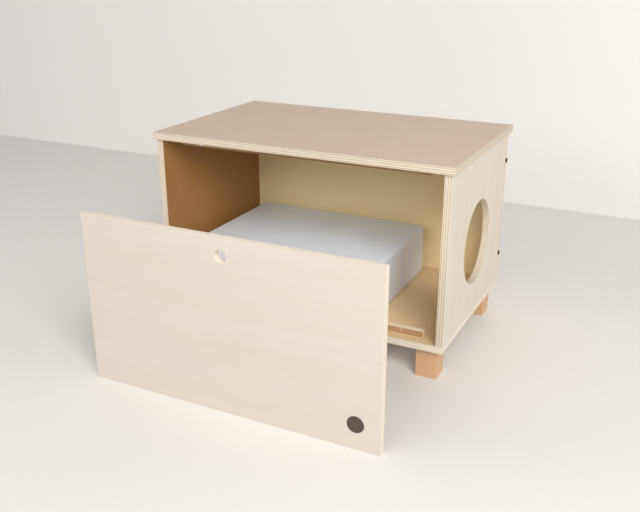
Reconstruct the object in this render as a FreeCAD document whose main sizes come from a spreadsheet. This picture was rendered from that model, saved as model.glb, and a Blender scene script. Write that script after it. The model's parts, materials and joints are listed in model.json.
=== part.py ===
import FreeCAD, Part
import math
import os
import re
import Sketcher

# Cat litter box cabinet: a plywood box on four beech legs with a round cat entrance in its right side,
# a loose front panel held by four magnets, and a covered litter tray inside.
# Millimetres. +X is the cabinet's right, +Y its back, +Z up. The origin is on the floor, in the middle of
# the footprint that the cabinet and its front panel, stood in front of it, cover together.

os.makedirs("parts", exist_ok=True)
doc = FreeCAD.newDocument("CatLitterCabinet")

# ---------------------------------------------------------------- driving dimensions

SIZES = [
    ("carcass_width", 800, "outside width over the two side panels"),
    ("carcass_depth", 496, "front edge to rear edge of the side panels"),
    ("side_height", 426, "height of the side panels, between bottom and top"),
    ("board", 18, "plywood thickness of top, bottom, sides and front panel"),
    ("back_board", 15, "plywood thickness of the back panel"),
    ("top_overhang", 8, "how far the top stands out past the carcass all round"),
    ("edge_ease", 0.6, "small rounding on every board edge"),
    ("cat_hole", 220, "diameter of the round cat entrance"),
    ("cat_hole_rise", 207, "centre of the cat entrance above the carcass underside"),
    ("cat_hole_ease", 1.5, "rounding of the cat entrance's two rims"),
    ("leg_side", 55, "side of a leg's square section"),
    ("leg_height", 80, "height of a leg"),
    ("leg_inset", 16, "leg's outer faces in from the carcass edges"),
    ("leg_ease", 1.5, "rounding of the leg's edges"),
    ("panel_side_gap", 6, "gap at each side of the front panel when it is closed"),
    ("panel_end_gap", 1, "gap over and under the front panel when it is closed"),
    ("panel_standoff", 340, "front panel's front face in front of the carcass"),
    ("panel_shift", 8, "front panel's centre to the right of the cabinet's centre"),
    ("finger_hole", 30, "diameter of the finger hole"),
    ("finger_hole_drop", 42, "centre of the finger hole below the panel's top edge"),
    ("finger_hole_ease", 1, "rounding of the finger hole's rims"),
    ("badge_width", 40, "diameter of the plain round badge"),
    ("badge_thick", 1.5, "thickness of the badge"),
    ("badge_recess", 1, "depth of the badge's seat in the panel"),
    ("badge_ease", 0.4, "rounding of the badge's rims"),
    ("badge_from_side", 58, "badge centre in from the panel's right edge"),
    ("badge_from_foot", 61, "badge centre up from the panel's lower edge"),
    ("batten", 16, "side of the battens' square section"),
    ("batten_end_gap", 41, "batten's ends in from the side panels"),
    ("batten_setback", 30, "battens' front faces behind the carcass front"),
    ("catch_width", 9, "diameter of a catch magnet"),
    ("catch_seat", 8, "depth of a catch magnet's seat in its batten"),
    ("catch_proud", 2, "catch magnet standing out of its batten"),
    ("catch_from_end", 59, "catch magnets in from the ends of their batten"),
    ("catch_off_middle", 2, "centre of a catch magnet off its batten's middle, away from the board"),
    ("catch_ease", 0.6, "rounding of a catch magnet's ends"),
    ("strike_width", 12, "diameter of a steel strike disc in the front panel"),
    ("strike_thick", 2, "thickness of a strike disc"),
    ("strike_ease", 0.2, "rounding of a strike disc's rims"),
    ("dowel_width", 8, "diameter of the dowels between sides and top"),
    ("dowel_length", 30, "length of every dowel"),
    ("dowel_bite", 11, "depth of a dowel in the top or bottom board"),
    ("back_dowel_width", 6, "diameter of the dowels above and below the back panel"),
    ("dowel_ease", 0.8, "rounding of the ends of the dowels"),
    ("fixing_from_edge", 58, "outer fixings in from the front and rear edges of a side"),
    ("back_fixing_from_side", 132, "outer back fixings in from the side panels"),
    ("screw_width", 5, "diameter of the screws from the bottom into the sides"),
    ("screw_length", 50, "length of those screws under the head"),
    ("screw_head", 10, "diameter of their heads"),
    ("screw_head_thick", 4, "height of their heads, sunk in the underside"),
    ("bolt_width", 7, "diameter of the black bolts from the sides into the back"),
    ("bolt_length", 50, "length of those bolts under the head"),
    ("bolt_head", 14, "diameter of their round heads"),
    ("bolt_head_thick", 3, "height of their heads, outside the side panel"),
    ("bolt_head_ease", 1.2, "rounding of the head's rim"),
    ("bolt_socket", 4, "width over the corners of the head's six-sided socket"),
    ("bolt_socket_deep", 1.8, "depth of the socket"),
    ("bolt_from_edge", 78, "black bolts in from the upper and lower edges of a side"),
    ("batten_screw_width", 4, "diameter of the batten screws"),
    ("batten_screw_length", 25, "length of the batten screws under the head"),
    ("batten_screw_head", 8, "diameter of the batten screws' heads"),
    ("batten_screw_head_thick", 2.5, "height of the heads, sunk in the batten"),
    ("batten_screw_from_end", 141, "outer batten screws in from the ends of their batten"),
    ("leg_bolt_width", 8, "diameter of a leg's hanger bolt"),
    ("leg_bolt_in_leg", 30, "length of the hanger bolt in the leg"),
    ("leg_bolt_in_board", 12, "length of the hanger bolt in the bottom panel"),
    ("leg_bolt_ease", 0.8, "rounding of the hanger bolt's ends"),
    ("insert_width", 13, "outside diameter of the threaded insert"),
    ("fit", 0.05, "clearance all round a fixing in its hole"),
    ("hole_spare", 0.5, "hole depth past the end of a fixing"),
    ("box_height", 138, "height of the covered tray"),
    ("box_left_gap", 32, "tray cover in from the left side panel"),
    ("step_in_bay", 192, "room for the cat between tray cover and right side panel"),
    ("box_rear_gap", 19, "tray cover in front of the back panel"),
    ("box_front_gap", 16, "tray cover behind the battens"),
    ("box_wall", 2.5, "wall of the tray and of its cover"),
    ("box_corner", 20, "upright corner radius of the cover"),
    ("box_edge", 14, "radius round the cover's top"),
    ("cover_gap", 1.5, "gap between the cover's wall and the tray's wall"),
    ("cover_foot_gap", 3, "cover's lower edge above the cabinet floor"),
    ("tray_rim_drop", 15, "tray's rim below the top of the cover"),
    ("tray_foot_radius", 5, "radius round the tray's foot"),
    ("rib_long", 30, "length of the cover's inner ribs along the wall"),
    ("rib_deep", 6, "depth of the ribs, out from the cover's wall"),
    ("rib_tall", 7, "height of the ribs"),
    ("rib_bite", 0.5, "how far the ribs go into the wall that carries them"),
]

sheet = doc.addObject("Spreadsheet::Sheet", "Sizes")
size = {}
for row, (alias, number, note) in enumerate(SIZES, start=1):
    sheet.set(f"A{row}", note)
    sheet.set(f"B{row}", str(number))
    sheet.setAlias(f"B{row}", alias)
    size[alias] = number
doc.recompute()

# Places that several pieces share. A formula's words are names of the sheet's cells.
MIDDLE_Y = "(panel_standoff + badge_thick - badge_recess - top_overhang) / 2"
CARCASS_FRONT = f"({MIDDLE_Y} - carcass_depth / 2)"
INNER_WIDTH = "(carcass_width - 2 * board)"
FLOOR_TOP = "(leg_height + board)"
CEILING = "(leg_height + board + side_height)"
MIDDLE_Z = "(leg_height + board + side_height / 2)"
SIDE_X = "((carcass_width - board) / 2)"
BACK_LINE = "((carcass_depth - back_board) / 2)"
BACK_Y = f"({MIDDLE_Y} + {BACK_LINE})"
PANEL_WIDTH = f"({INNER_WIDTH} - 2 * panel_side_gap)"
PANEL_HEIGHT = "(side_height - 2 * panel_end_gap)"
PANEL_Y = f"({CARCASS_FRONT} - panel_standoff + board / 2)"
BATTEN_LENGTH = f"({INNER_WIDTH} - 2 * batten_end_gap)"
BATTEN_LINE = "(batten_setback + batten / 2 - carcass_depth / 2)"
BATTEN_Y = f"({MIDDLE_Y} + {BATTEN_LINE})"
CATCH_RISE = "(batten / 2 + catch_off_middle)"
LEG_X = "(carcass_width / 2 - leg_inset - leg_side / 2)"
LEG_Y = "(carcass_depth / 2 - leg_inset - leg_side / 2)"
BOX_WIDTH = f"({INNER_WIDTH} - box_left_gap - step_in_bay)"
BOX_DEPTH = "(carcass_depth - back_board - box_rear_gap - batten_setback - batten - box_front_gap)"
BOX_X = "((box_left_gap - step_in_bay) / 2)"
BOX_Y = f"({MIDDLE_Y} + carcass_depth / 2 - back_board - box_rear_gap - {BOX_DEPTH} / 2)"
FIXING_ROW = "(carcass_depth / 2 - fixing_from_edge)"
BACK_FIXING_ROW = f"({INNER_WIDTH} / 2 - back_fixing_from_side)"
BATTEN_SCREW_ROW = f"({BATTEN_LENGTH} / 2 - batten_screw_from_end)"
CATCH_ROW = f"({BATTEN_LENGTH} / 2 - catch_from_end)"
BOLT_ROW = "(side_height / 2 - bolt_from_edge)"


# ---------------------------------------------------------------- helpers

NEAR = 0.01  # two lengths or heights this close are the same
LEAST_CUT = 1  # cubic millimetres: a cut that takes less has missed the body


def bind(thing, prop, formula):
    """Tie a property to the sheet: each word of the formula is a cell's alias."""
    thing.setExpression(prop, re.sub(r"[a-z][a-z_]*", r"Sizes.\g<0>", formula))


def place(thing, x="0", y="0", z="0"):
    for axis, formula in zip("xyz", (x, y, z)):
        bind(thing, f"Placement.Base.{axis}", formula)


def turn(thing, axis, degrees):
    thing.Placement.Rotation = FreeCAD.Rotation(FreeCAD.Vector(*axis), degrees)


def new_body(name):
    body = doc.addObject("PartDesign::Body", name)
    body.Label = name
    return body


def sketch_on(body, name, role, level="0"):
    """A sketch on one of the body's origin planes, or at a height over it."""
    sketch = body.newObject("Sketcher::SketchObject", name)
    plane = next(item for item in body.Origin.OriginFeatures if item.Role == role)
    sketch.AttachmentSupport = [(plane, "")]
    sketch.MapMode = "FlatFace"
    bind(sketch, "AttachmentOffset.Base.z", level)
    return sketch


def measure(sketch, kind, points, formula):
    index = sketch.addConstraint(Sketcher.Constraint(kind, *points, 1.0))
    bind(sketch, f"Constraints[{index}]", formula)


def draw_rectangle(sketch, wide, tall, x="0", y="0"):
    """A rectangle whose centre is at x, y."""
    corners = [FreeCAD.Vector(*p) for p in ((-5, -5, 0), (5, -5, 0), (5, 5, 0), (-5, 5, 0))]
    first = sketch.GeometryCount
    for i in range(4):
        sketch.addGeometry(Part.LineSegment(corners[i], corners[(i + 1) % 4]), False)
    for i in range(4):
        sketch.addConstraint(Sketcher.Constraint("Coincident", first + i, 2, first + (i + 1) % 4, 1))
    for i in (0, 2):
        sketch.addConstraint(Sketcher.Constraint("Horizontal", first + i))
        sketch.addConstraint(Sketcher.Constraint("Vertical", first + i + 1))
    measure(sketch, "DistanceX", (first, 1, first, 2), wide)
    measure(sketch, "DistanceY", (first + 1, 1, first + 1, 2), tall)
    measure(sketch, "DistanceX", (-1, 1, first, 1), f"{x} - ({wide}) / 2")
    measure(sketch, "DistanceY", (-1, 1, first, 1), f"{y} - ({tall}) / 2")


def draw_circle(sketch, width, x="0", y="0"):
    """A circle of the given diameter round x, y."""
    circle = Part.Circle(FreeCAD.Vector(0, 0, 0), FreeCAD.Vector(0, 0, 1), 5)
    index = sketch.addGeometry(circle, False)
    measure(sketch, "Diameter", (index,), width)
    measure(sketch, "DistanceX", (-1, 1, index, 3), x)
    measure(sketch, "DistanceY", (-1, 1, index, 3), y)


def pad(body, name, sketch, length, middle=False, backwards=False):
    feature = body.newObject("PartDesign::Pad", name)
    feature.Profile = sketch
    bind(feature, "Length", length)
    feature.Midplane = middle
    feature.Reversed = backwards
    doc.recompute()
    return feature


def pocket(body, name, sketch, depth="", backwards=False):
    """Cut the sketch into the body, right through when no depth is given."""
    before = body.Shape.Volume
    feature = body.newObject("PartDesign::Pocket", name)
    feature.Profile = sketch
    feature.Reversed = backwards
    if depth:
        bind(feature, "Length", depth)
    else:
        feature.Type = "ThroughAll"
        feature.Midplane = True
    doc.recompute()
    if feature.Shape.Volume > before - LEAST_CUT:
        raise RuntimeError(f"{body.Label}: {name} cut nothing")
    return feature


def drill(body, name, role, width, centres, level="0", depth="", backwards=False):
    """Round holes of one width and depth, from one level of one of the body's planes."""
    sketch = sketch_on(body, name + "_sketch", role, level)
    for x, y in centres:
        draw_circle(sketch, width, x, y)
    return pocket(body, name, sketch, depth, backwards)


def round_edges(body, name, radius, wanted):
    """Round those edges of the body as it stands that the test asks for."""
    base = body.Tip
    chosen = [f"Edge{i}" for i, edge in enumerate(base.Shape.Edges, start=1) if wanted(edge)]
    feature = body.newObject("PartDesign::Fillet", name)
    feature.Base = (base, chosen)
    bind(feature, "Radius", radius)
    doc.recompute()
    return feature


def is_straight(edge):
    ends = [vertex.Point for vertex in edge.Vertexes]
    return len(ends) == 2 and abs(edge.Length - (ends[1] - ends[0]).Length) < NEAR / 10


def is_upright(edge):
    box = edge.BoundBox
    return box.XLength < NEAR and box.YLength < NEAR and box.ZLength > NEAR


def is_circle(width):
    def test(edge):
        return edge.isClosed() and abs(edge.Length - math.pi * width) < NEAR
    return test


def is_at_height(height):
    def test(edge):
        return abs(edge.BoundBox.ZMin - height) < NEAR and abs(edge.BoundBox.ZMax - height) < NEAR
    return test


def both_sides(formula):
    return (f"-({formula})", formula)


def row_of_three(formula):
    return (f"-({formula})", "0", formula)


# A board lies in one of the planes, its middle at the body's origin.
def board(name, role, wide, tall, thick):
    body = new_body(name)
    outline = sketch_on(body, name + "_outline", role)
    draw_rectangle(outline, wide, tall)
    pad(body, name + "_board", outline, thick, middle=True)
    round_edges(body, name + "_eased", "edge_ease", is_straight)
    return body


# A fixing is a round shank along local +Z from its head's underside, with its head below that.
def fixing(name, width, length, head_width, head_thick):
    shank = doc.addObject("Part::Cylinder", name + "_shank")
    bind(shank, "Radius", f"{width} / 2")
    bind(shank, "Height", length)
    head = doc.addObject("Part::Cylinder", name + "_head")
    bind(head, "Radius", f"{head_width} / 2")
    bind(head, "Height", head_thick)
    bind(head, "Placement.Base.z", f"-({head_thick})")
    whole = doc.addObject("Part::Fuse", name)
    whole.Base = shank
    whole.Tool = head
    return whole


def peg(name, width, length, ease):
    """A plain round pin along local +Z, its ends slightly rounded."""
    pin = doc.addObject("Part::Cylinder", name + "_pin")
    bind(pin, "Radius", f"{width} / 2")
    bind(pin, "Height", length)
    doc.recompute()
    rounded = doc.addObject("Part::Fillet", name)
    rounded.Base = pin
    rounded.Edges = [(i, ease, ease) for i, edge in enumerate(pin.Shape.Edges, start=1)
                     if is_circle(2 * pin.Radius.Value)(edge)]
    return rounded


def group(name, pieces):
    """Several separate solids of one kind, in one node."""
    bundle = doc.addObject("Part::Compound", name)
    bundle.Label = name
    bundle.Links = pieces
    return bundle


# ---------------------------------------------------------------- carcass boards

def make_bottom_panel():
    body = board("bottom_panel", "XY_Plane", "carcass_width", "carcass_depth", "board")
    place(body, "0", MIDDLE_Y, "leg_height + board / 2")
    screws = [(x, y) for x in both_sides(SIDE_X) for y in row_of_three(FIXING_ROW)]
    drill(body, "screw_holes", "XY_Plane", "screw_width + 2 * fit", screws)
    drill(body, "screw_head_seats", "XY_Plane", "screw_head + 2 * fit", screws,
          level="-board / 2", depth="screw_head_thick", backwards=True)
    drill(body, "back_dowel_holes", "XY_Plane", "back_dowel_width + 2 * fit",
          [(x, BACK_LINE) for x in row_of_three(BACK_FIXING_ROW)],
          level="board / 2", depth="dowel_bite + hole_spare")
    drill(body, "batten_screw_holes", "XY_Plane", "batten_screw_width + 2 * fit",
          [(x, BATTEN_LINE) for x in row_of_three(BATTEN_SCREW_ROW)],
          level="board / 2", depth="batten_screw_length - batten + batten_screw_head_thick + hole_spare")
    drill(body, "insert_seats", "XY_Plane", "insert_width + 2 * fit",
          [(x, y) for x in both_sides(LEG_X) for y in both_sides(LEG_Y)],
          level="-board / 2", depth="leg_bolt_in_board + hole_spare", backwards=True)
    return body


def make_top_panel():
    body = board("top_panel", "XY_Plane", "carcass_width + 2 * top_overhang",
                 "carcass_depth + 2 * top_overhang", "board")
    place(body, "0", MIDDLE_Y, CEILING + " + board / 2")
    drill(body, "side_dowel_holes", "XY_Plane", "dowel_width + 2 * fit",
          [(x, y) for x in both_sides(SIDE_X) for y in row_of_three(FIXING_ROW)],
          level="-board / 2", depth="dowel_bite + hole_spare", backwards=True)
    drill(body, "back_dowel_holes", "XY_Plane", "back_dowel_width + 2 * fit",
          [(x, BACK_LINE) for x in row_of_three(BACK_FIXING_ROW)],
          level="-board / 2", depth="dowel_bite + hole_spare", backwards=True)
    drill(body, "batten_screw_holes", "XY_Plane", "batten_screw_width + 2 * fit",
          [(x, BATTEN_LINE) for x in row_of_three(BATTEN_SCREW_ROW)],
          level="-board / 2", depth="batten_screw_length - batten + batten_screw_head_thick + hole_spare",
          backwards=True)
    return body


def make_side_panel(name, side):
    """One side panel. side is 1 for the right one, which has the cat entrance, and -1 for the left."""
    body = board(name, "YZ_Plane", "carcass_depth", "side_height", "board")
    place(body, f"{side} * {SIDE_X}", MIDDLE_Y, MIDDLE_Z)
    edge_line = [("0", y) for y in row_of_three(FIXING_ROW)]
    drill(body, "top_dowel_holes", "XY_Plane", "dowel_width + 2 * fit", edge_line,
          level="side_height / 2", depth="dowel_length - dowel_bite + hole_spare")
    drill(body, "screw_holes", "XY_Plane", "screw_width + 2 * fit", edge_line,
          level="-side_height / 2", depth="screw_length + screw_head_thick - board + hole_spare",
          backwards=True)
    drill(body, "bolt_holes", "YZ_Plane", "bolt_width + 2 * fit",
          [(BACK_LINE, z) for z in both_sides(BOLT_ROW)])
    if side == 1:
        drill(body, "cat_entrance", "YZ_Plane", "cat_hole",
              [("0", "cat_hole_rise - board - side_height / 2")])
        round_edges(body, "cat_entrance_eased", "cat_hole_ease", is_circle(size["cat_hole"]))
    return body


def make_back_panel():
    body = board("back_panel", "XZ_Plane", INNER_WIDTH, "side_height", "back_board")
    place(body, "0", BACK_Y, MIDDLE_Z)
    dowels = [(x, "0") for x in row_of_three(BACK_FIXING_ROW)]
    for name, level, backwards in (("top_dowel_holes", "side_height / 2", False),
                                   ("bottom_dowel_holes", "-side_height / 2", True)):
        drill(body, name, "XY_Plane", "back_dowel_width + 2 * fit", dowels, level=level,
              depth="dowel_length - dowel_bite + hole_spare", backwards=backwards)
    bolts = [("0", z) for z in both_sides(BOLT_ROW)]
    for name, level, backwards in (("right_bolt_holes", f"{INNER_WIDTH} / 2", False),
                                   ("left_bolt_holes", f"-{INNER_WIDTH} / 2", True)):
        drill(body, name, "YZ_Plane", "bolt_width + 2 * fit", bolts, level=level,
              depth="bolt_length - board + hole_spare", backwards=backwards)
    return body


# ---------------------------------------------------------------- front panel and its small parts

STRIKES = [(x, z) for x in both_sides(CATCH_ROW)
           for z in both_sides(f"side_height / 2 - {CATCH_RISE}")]
BADGE_X = f"({PANEL_WIDTH} / 2 - badge_from_side)"
BADGE_Z = f"(badge_from_foot - {PANEL_HEIGHT} / 2)"


def make_front_panel():
    body = board("front_panel", "XZ_Plane", PANEL_WIDTH, PANEL_HEIGHT, "board")
    place(body, "panel_shift", PANEL_Y, f"{PANEL_HEIGHT} / 2")
    drill(body, "finger_hole", "XZ_Plane", "finger_hole",
          [("0", f"{PANEL_HEIGHT} / 2 - finger_hole_drop")])
    round_edges(body, "finger_hole_eased", "finger_hole_ease", is_circle(size["finger_hole"]))
    drill(body, "badge_seat", "XZ_Plane", "badge_width + 2 * fit", [(BADGE_X, BADGE_Z)],
          level="board / 2", depth="badge_recess")
    drill(body, "strike_seats", "XZ_Plane", "strike_width + 2 * fit", STRIKES,
          level="-board / 2", depth="strike_thick", backwards=True)
    return body


def make_panel_badge():
    disc = peg("panel_badge", "badge_width", "badge_thick", size["badge_ease"])
    disc.Label = "panel_badge"
    turn(disc, (1, 0, 0), 90)
    place(disc, f"panel_shift + {BADGE_X}", f"{PANEL_Y} - board / 2 + badge_recess",
          f"{PANEL_HEIGHT} / 2 + {BADGE_Z}")
    return disc


def make_strike_discs():
    discs = []
    for i, (x, z) in enumerate(STRIKES):
        disc = peg(f"strike_disc_{i + 1}", "strike_width", "strike_thick", size["strike_ease"])
        turn(disc, (1, 0, 0), 90)
        place(disc, f"panel_shift + {x}", f"{PANEL_Y} + board / 2", f"{PANEL_HEIGHT} / 2 + {z}")
        discs.append(disc)
    return group("strike_discs", discs)


# ---------------------------------------------------------------- battens and catches

def make_batten(name, side):
    """The batten under the top (side 1) or on the floor of the cabinet (side -1)."""
    body = board(name, "XY_Plane", BATTEN_LENGTH, "batten", "batten")
    place(body, "0", BATTEN_Y, f"{MIDDLE_Z} + {side} * (side_height - batten) / 2")
    screws = [(x, "0") for x in row_of_three(BATTEN_SCREW_ROW)]
    drill(body, "screw_holes", "XY_Plane", "batten_screw_width + 2 * fit", screws)
    drill(body, "screw_head_seats", "XY_Plane", "batten_screw_head + 2 * fit", screws,
          level=f"{-side} * batten / 2", depth="batten_screw_head_thick", backwards=side == 1)
    drill(body, "catch_seats", "XZ_Plane", "catch_width + 2 * fit",
          [(x, f"{-side} * catch_off_middle") for x in both_sides(CATCH_ROW)],
          level="batten / 2", depth="catch_seat")
    return body


def make_catch_magnets(name, side):
    magnets = []
    for i, x in enumerate(both_sides(CATCH_ROW)):
        magnet = peg(f"{name}_{i + 1}", "catch_width", "catch_seat + catch_proud", size["catch_ease"])
        turn(magnet, (1, 0, 0), 90)
        place(magnet, x, f"{CARCASS_FRONT} + batten_setback + catch_seat",
              f"{MIDDLE_Z} + {side} * (side_height / 2 - {CATCH_RISE})")
        magnets.append(magnet)
    return group(name, magnets)


def make_batten_screws(name, side):
    screws = []
    for i, x in enumerate(row_of_three(BATTEN_SCREW_ROW)):
        screw = fixing(f"{name}_{i + 1}", "batten_screw_width", "batten_screw_length",
                       "batten_screw_head", "batten_screw_head_thick")
        turn(screw, (1, 0, 0), 90 - 90 * side)
        place(screw, x, BATTEN_Y,
              f"{MIDDLE_Z} + {side} * (side_height / 2 - batten + batten_screw_head_thick)")
        screws.append(screw)
    return group(name, screws)


# ---------------------------------------------------------------- legs

def make_leg(name, side, end):
    """A square beech leg under one corner: side -1 left, 1 right; end -1 front, 1 rear."""
    body = new_body(name)
    outline = sketch_on(body, name + "_outline", "XY_Plane")
    draw_rectangle(outline, "leg_side", "leg_side")
    pad(body, name + "_block", outline, "leg_height")
    round_edges(body, name + "_eased", "leg_ease", lambda edge: not is_at_height(size["leg_height"])(edge))
    drill(body, "bolt_hole", "XY_Plane", "leg_bolt_width + 2 * fit", [("0", "0")],
          level="leg_height", depth="leg_bolt_in_leg + hole_spare")
    place(body, f"{side} * {LEG_X}", f"{MIDDLE_Y} + {end} * {LEG_Y}")
    return body


LEG_SPOTS = [(side, end) for end in (-1, 1) for side in (-1, 1)]


def make_leg_bolts():
    bolts = []
    for i, (side, end) in enumerate(LEG_SPOTS):
        bolt = peg(f"leg_bolt_{i + 1}", "leg_bolt_width", "leg_bolt_in_leg + leg_bolt_in_board",
                   size["leg_bolt_ease"])
        place(bolt, f"{side} * {LEG_X}", f"{MIDDLE_Y} + {end} * {LEG_Y}", "leg_height - leg_bolt_in_leg")
        bolts.append(bolt)
    return group("leg_hanger_bolts", bolts)


def make_leg_inserts():
    inserts = []
    for i, (side, end) in enumerate(LEG_SPOTS):
        outer = doc.addObject("Part::Cylinder", f"leg_insert_{i + 1}_outside")
        bind(outer, "Radius", "insert_width / 2")
        bind(outer, "Height", "leg_bolt_in_board")
        inner = doc.addObject("Part::Cylinder", f"leg_insert_{i + 1}_thread")
        bind(inner, "Radius", "leg_bolt_width / 2 + fit")
        bind(inner, "Height", "leg_bolt_in_board")
        sleeve = doc.addObject("Part::Cut", f"leg_insert_{i + 1}")
        sleeve.Base = outer
        sleeve.Tool = inner
        place(sleeve, f"{side} * {LEG_X}", f"{MIDDLE_Y} + {end} * {LEG_Y}", "leg_height")
        inserts.append(sleeve)
    return group("leg_threaded_inserts", inserts)


# ---------------------------------------------------------------- fixings of the carcass

def make_side_top_dowels():
    dowels = []
    for x in both_sides(SIDE_X):
        for y in row_of_three(FIXING_ROW):
            dowel = peg(f"side_dowel_{len(dowels) + 1}", "dowel_width", "dowel_length", size["dowel_ease"])
            place(dowel, x, f"{MIDDLE_Y} + {y}", f"{CEILING} + dowel_bite - dowel_length")
            dowels.append(dowel)
    return group("side_top_dowels", dowels)


def make_back_dowels():
    dowels = []
    for z in (f"{CEILING} + dowel_bite - dowel_length", f"{FLOOR_TOP} - dowel_bite"):
        for x in row_of_three(BACK_FIXING_ROW):
            dowel = peg(f"back_dowel_{len(dowels) + 1}", "back_dowel_width", "dowel_length",
                        size["dowel_ease"])
            place(dowel, x, BACK_Y, z)
            dowels.append(dowel)
    return group("back_panel_dowels", dowels)


def make_bottom_screws():
    screws = []
    for x in both_sides(SIDE_X):
        for y in row_of_three(FIXING_ROW):
            screw = fixing(f"bottom_screw_{len(screws) + 1}", "screw_width", "screw_length",
                           "screw_head", "screw_head_thick")
            place(screw, x, f"{MIDDLE_Y} + {y}", "leg_height + screw_head_thick")
            screws.append(screw)
    return group("bottom_screws", screws)


def make_back_bolts(name, side):
    """The two black round-headed bolts through one side panel into the back panel's edge."""
    bolts = []
    for i, z in enumerate(both_sides(BOLT_ROW)):
        whole = fixing(f"{name}_{i + 1}_plain", "bolt_width", "bolt_length", "bolt_head", "bolt_head_thick")
        doc.recompute()
        rounded = doc.addObject("Part::Fillet", f"{name}_{i + 1}_rounded")
        rounded.Base = whole
        ease = size["bolt_head_ease"]
        rounded.Edges = [(n, ease, ease) for n, edge in enumerate(whole.Shape.Edges, start=1)
                         if is_circle(size["bolt_head"])(edge)
                         and is_at_height(-size["bolt_head_thick"])(edge)]
        socket = doc.addObject("Part::Prism", f"{name}_{i + 1}_socket")
        socket.Polygon = 6
        bind(socket, "Circumradius", "bolt_socket / 2")
        bind(socket, "Height", "bolt_socket_deep")
        bind(socket, "Placement.Base.z", "-bolt_head_thick")
        bolt = doc.addObject("Part::Cut", f"{name}_{i + 1}")
        bolt.Base = rounded
        bolt.Tool = socket
        turn(bolt, (0, 1, 0), -90 * side)
        place(bolt, f"{side} * carcass_width / 2", BACK_Y, f"{MIDDLE_Z} + {z}")
        bolts.append(bolt)
    return group(name, bolts)


# ---------------------------------------------------------------- litter tray and its cover

def rounded_block(name, wide, deep, tall, corner):
    body = new_body(name)
    outline = sketch_on(body, name + "_outline", "XY_Plane")
    draw_rectangle(outline, wide, deep)
    pad(body, name + "_block", outline, tall)
    round_edges(body, name + "_corners", corner, is_upright)
    return body


def hollow_out(body, name, wall, open_height):
    """Hollow the body inwards, leaving it open at its flat face at one height."""
    base = body.Tip
    mouth = [f"Face{i}" for i, face in enumerate(base.Shape.Faces, start=1)
             if is_at_height(open_height)(face)]
    feature = body.newObject("PartDesign::Thickness", name)
    feature.Base = (base, mouth)
    feature.Reversed = True
    bind(feature, "Value", wall)
    doc.recompute()
    if not feature.Shape.Volume < base.Shape.Volume / 2:
        raise RuntimeError(f"{body.Label}: not hollow")
    return feature


def make_litter_tray():
    """The open pan that holds the litter, standing on the cabinet floor."""
    lost = "2 * (box_wall + cover_gap)"
    body = rounded_block("litter_tray", f"{BOX_WIDTH} - {lost}", f"{BOX_DEPTH} - {lost}",
                         "box_height - tray_rim_drop", "box_corner - box_wall - cover_gap")
    round_edges(body, "litter_tray_foot", "tray_foot_radius", is_at_height(0))
    hollow_out(body, "litter_tray_well", "box_wall", size["box_height"] - size["tray_rim_drop"])
    place(body, BOX_X, BOX_Y, FLOOR_TOP)
    return body


def make_litter_tray_cover():
    """The lift-off cover: a rounded shell over the tray, held up by four ribs on the tray's rim."""
    tall = "(box_height - cover_foot_gap)"
    body = rounded_block("litter_tray_cover", BOX_WIDTH, BOX_DEPTH, tall, "box_corner")
    top = size["box_height"] - size["cover_foot_gap"]
    round_edges(body, "cover_top_edge", "box_edge", is_at_height(top))
    hollow_out(body, "cover_hollow", "box_wall", 0)
    ribs = sketch_on(body, "cover_rib_outline", "XY_Plane", f"{tall} - tray_rim_drop")
    rib_middle = "(box_wall - rib_bite + rib_deep / 2)"
    for x in both_sides(f"{BOX_WIDTH} / 2 - {rib_middle}"):
        draw_rectangle(ribs, "rib_deep", "rib_long", x, "0")
    for y in both_sides(f"{BOX_DEPTH} / 2 - {rib_middle}"):
        draw_rectangle(ribs, "rib_long", "rib_deep", "0", y)
    pad(body, "cover_ribs", ribs, "rib_tall")
    place(body, BOX_X, BOX_Y, FLOOR_TOP + " + cover_foot_gap")
    return body


# ---------------------------------------------------------------- build, check and write

nodes = [
    make_bottom_panel(),
    make_top_panel(),
    make_side_panel("left_side_panel", -1),
    make_side_panel("right_side_panel", 1),
    make_back_panel(),
    make_front_panel(),
    make_panel_badge(),
    make_strike_discs(),
    make_batten("upper_batten", 1),
    make_batten("lower_batten", -1),
    make_catch_magnets("upper_catch_magnets", 1),
    make_catch_magnets("lower_catch_magnets", -1),
    make_batten_screws("upper_batten_screws", 1),
    make_batten_screws("lower_batten_screws", -1),
    make_leg("front_left_leg", -1, -1),
    make_leg("front_right_leg", 1, -1),
    make_leg("rear_left_leg", -1, 1),
    make_leg("rear_right_leg", 1, 1),
    make_leg_bolts(),
    make_leg_inserts(),
    make_side_top_dowels(),
    make_back_dowels(),
    make_bottom_screws(),
    make_back_bolts("left_back_bolts", -1),
    make_back_bolts("right_back_bolts", 1),
    make_litter_tray(),
    make_litter_tray_cover(),
]

doc.recompute()
for thing in doc.Objects:
    if "Invalid" in thing.State or "Error" in thing.State:
        raise RuntimeError(f"{thing.Label} failed: {thing.State}")
for node in nodes:
    if node.Shape.isNull() or not node.Shape.isValid():
        raise RuntimeError(f"{node.Label} has no valid shape")

for node in nodes:
    node.Shape.exportStep(f"parts/{node.Label}.step")
    box = node.Shape.BoundBox
    print(f"{node.Label:24s} {len(node.Shape.Solids)} solid(s) {node.Shape.Volume / 1000:9.1f} cm3"
          f"  x {box.XMin:7.1f} {box.XMax:7.1f}  y {box.YMin:7.1f} {box.YMax:7.1f}"
          f"  z {box.ZMin:6.1f} {box.ZMax:6.1f}")
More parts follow.
